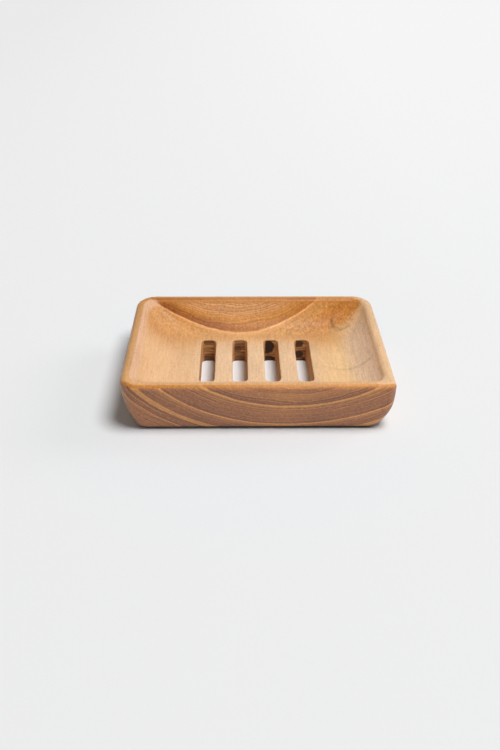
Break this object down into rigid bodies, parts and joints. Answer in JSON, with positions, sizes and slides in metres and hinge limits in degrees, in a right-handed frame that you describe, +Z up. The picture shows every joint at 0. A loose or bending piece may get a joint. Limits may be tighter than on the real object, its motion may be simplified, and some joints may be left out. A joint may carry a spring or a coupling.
{
  "type": "soap dish",
  "caption": "Low wooden soap dish carved from one block, with barrel-curved ends, a dished hollow for the bar and four slots that drain it.",
  "frame": {"origin": "middle of the base, on the surface that the dish stands on", "axes": "+X along the dish to the right, +Y to the back, +Z up"},
  "size_m": [0.12, 0.0852, 0.027],
  "materials": {
    "wood": "sanded and oiled, satin"
  },
  "bodies": {
    "root": {"dish_body": "wood"}
  },
  "joints": []
}
